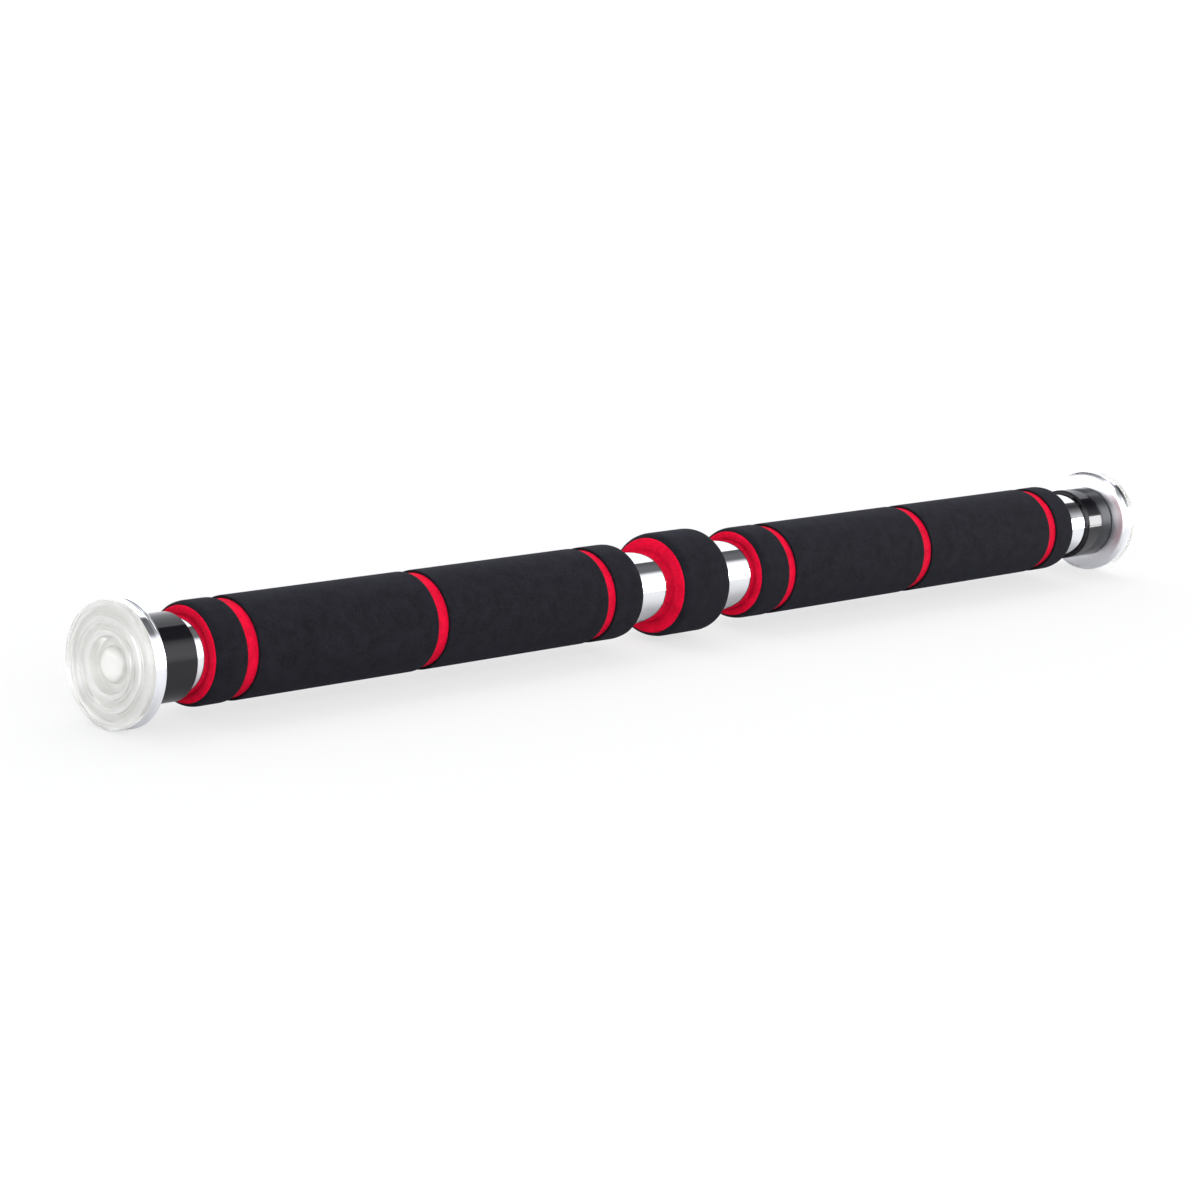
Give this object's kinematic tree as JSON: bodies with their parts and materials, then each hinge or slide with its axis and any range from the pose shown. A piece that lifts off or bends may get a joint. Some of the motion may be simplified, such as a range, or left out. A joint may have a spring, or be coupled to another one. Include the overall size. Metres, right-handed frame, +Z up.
{
  "type": "doorway pull up bar",
  "caption": "Round doorway pull up bar: chrome tube with foam grips, and threaded ends with soft pads that screw out against the door jambs.",
  "frame": {"origin": "middle of the bar, on its axis", "axes": "+X along the bar towards its right-hand threaded end, +Z up"},
  "size_m": [0.6684, 0.051, 0.051],
  "materials": {
    "chrome_tube": "polished",
    "chrome_screw": "polished",
    "chrome_flange": "polished",
    "foam_black": "matte",
    "foam_red": "matte",
    "collar_black": "gloss",
    "clear_pad": "satin",
    "plated_bolt": "satin",
    "bare_steel": "satin",
    "nylon": "satin"
  },
  "bodies": {
    "bar": {"main_tube": "chrome_tube", "left_grip_core": "foam_red", "left_grip_skin": "foam_black", "right_grip_core": "foam_red", "right_grip_skin": "foam_black", "ring_core": "foam_red", "ring_skin": "foam_black", "left_collar": "collar_black", "right_collar": "collar_black", "left_nut": "bare_steel", "right_nut": "bare_steel", "left_nut_pins": "bare_steel", "right_nut_pins": "bare_steel"},
    "left_guide": {"left_guide_bush": "nylon"},
    "left_end": {"left_screw": "chrome_screw", "left_screw_plug": "bare_steel", "left_flange": "chrome_flange", "left_pad": "clear_pad", "left_flange_bolt": "plated_bolt", "left_journal": "bare_steel", "left_stop_washer": "bare_steel", "left_stop_bolt": "bare_steel"},
    "right_guide": {"right_guide_bush": "nylon"},
    "right_end": {"right_screw": "chrome_screw", "right_screw_plug": "bare_steel", "right_flange": "chrome_flange", "right_pad": "clear_pad", "right_flange_bolt": "plated_bolt", "right_journal": "bare_steel", "right_stop_washer": "bare_steel", "right_stop_bolt": "bare_steel"}
  },
  "joints": [
    {"name": "left_travel", "type": "slide", "parent": "bar", "child": "left_guide", "axis": [-1, 0, 0], "range_m": [0, 0.165]},
    {"name": "left_spin", "type": "hinge", "parent": "left_guide", "child": "left_end", "pos_m": [-0.1127, 0, 0], "axis": [1, 0, 0], "range_deg": [0, 9864]},
    {"name": "right_travel", "type": "slide", "parent": "bar", "child": "right_guide", "axis": [1, 0, 0], "range_m": [0, 0.165]},
    {"name": "right_spin", "type": "hinge", "parent": "right_guide", "child": "right_end", "pos_m": [0.1127, 0, 0], "axis": [1, 0, 0], "range_deg": [0, 9864]}
  ],
  "couplings": [
    {"joint": "left_travel", "follows": "left_spin", "m_per_rad": 0.00095493},
    {"joint": "right_travel", "follows": "right_spin", "m_per_rad": 0.00095493}
  ]
}
